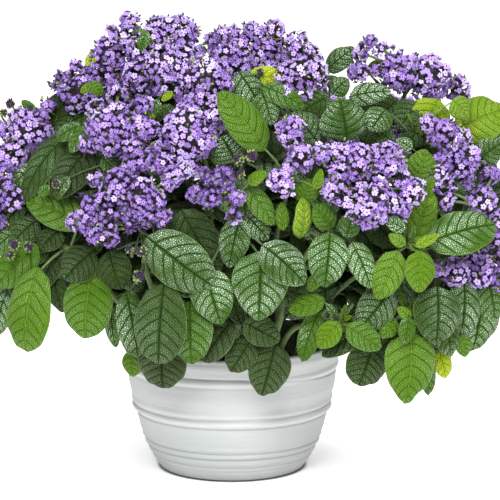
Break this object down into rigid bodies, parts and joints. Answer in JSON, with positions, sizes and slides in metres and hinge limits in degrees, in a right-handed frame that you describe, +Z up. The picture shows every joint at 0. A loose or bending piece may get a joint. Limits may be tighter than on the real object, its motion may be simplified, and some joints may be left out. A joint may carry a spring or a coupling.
{
  "type": "potted heliotrope",
  "caption": "Potted heliotrope: a bushy mound of ribbed pointed leaves with domed heads of small violet flowers, growing from soil in a ringed bowl-shaped glazed pot.",
  "frame": {"origin": "centre of the pot's foot, on the surface that the pot stands on", "axes": "+Z up the pot's axis, -Y towards the side that the picture shows, +X to the right in that view"},
  "size_m": [0.3673, 0.2863, 0.3306],
  "materials": {
    "pot": "gloss",
    "soil": "matte",
    "foliage": "satin",
    "petals": "matte"
  },
  "bodies": {
    "root": {"bloom_back_a": "petals", "bloom_back_b": "petals", "bloom_back_c": "petals", "bloom_back_d": "petals", "bloom_back_e": "petals", "bloom_back_f": "petals", "bloom_back_g": "petals", "bloom_back_h": "petals", "bloom_crown_left": "petals", "bloom_crown_middle": "petals", "bloom_crown_right": "petals", "bloom_edge_left": "petals", "bloom_edge_right": "petals", "bloom_front_middle": "petals", "bloom_front_right": "petals", "bloom_low_left": "petals", "bloom_low_middle": "petals", "bloom_low_right": "petals", "bloom_mass_left": "petals", "bloom_middle_left": "petals", "bloom_shoulder_left": "petals", "bloom_side_left": "petals", "bloom_side_right": "petals", "pot": "pot", "soil": "soil", "stem_back_a": "foliage", "stem_back_b": "foliage", "stem_back_c": "foliage", "stem_back_d": "foliage", "stem_back_e": "foliage", "stem_back_f": "foliage", "stem_back_g": "foliage", "stem_back_h": "foliage", "stem_crown_left": "foliage", "stem_crown_middle": "foliage", "stem_crown_right": "foliage", "stem_edge_left": "foliage", "stem_edge_right": "foliage", "stem_front_middle": "foliage", "stem_front_right": "foliage", "stem_low_left": "foliage", "stem_low_middle": "foliage", "stem_low_right": "foliage", "stem_mass_left": "foliage", "stem_middle_left": "foliage", "stem_shoulder_left": "foliage", "stem_side_left": "foliage", "stem_side_right": "foliage", "stem_spray_back_a": "foliage", "stem_spray_back_b": "foliage", "stem_spray_back_c": "foliage", "stem_spray_back_d": "foliage", "stem_spray_crown": "foliage", "stem_spray_front": "foliage", "stem_spray_left": "foliage", "stem_spray_right": "foliage", "stem_spray_shoulder": "foliage", "stem_spray_top": "foliage", "stem_tuft_front": "foliage", "stem_tuft_right": "foliage"}
  },
  "joints": []
}
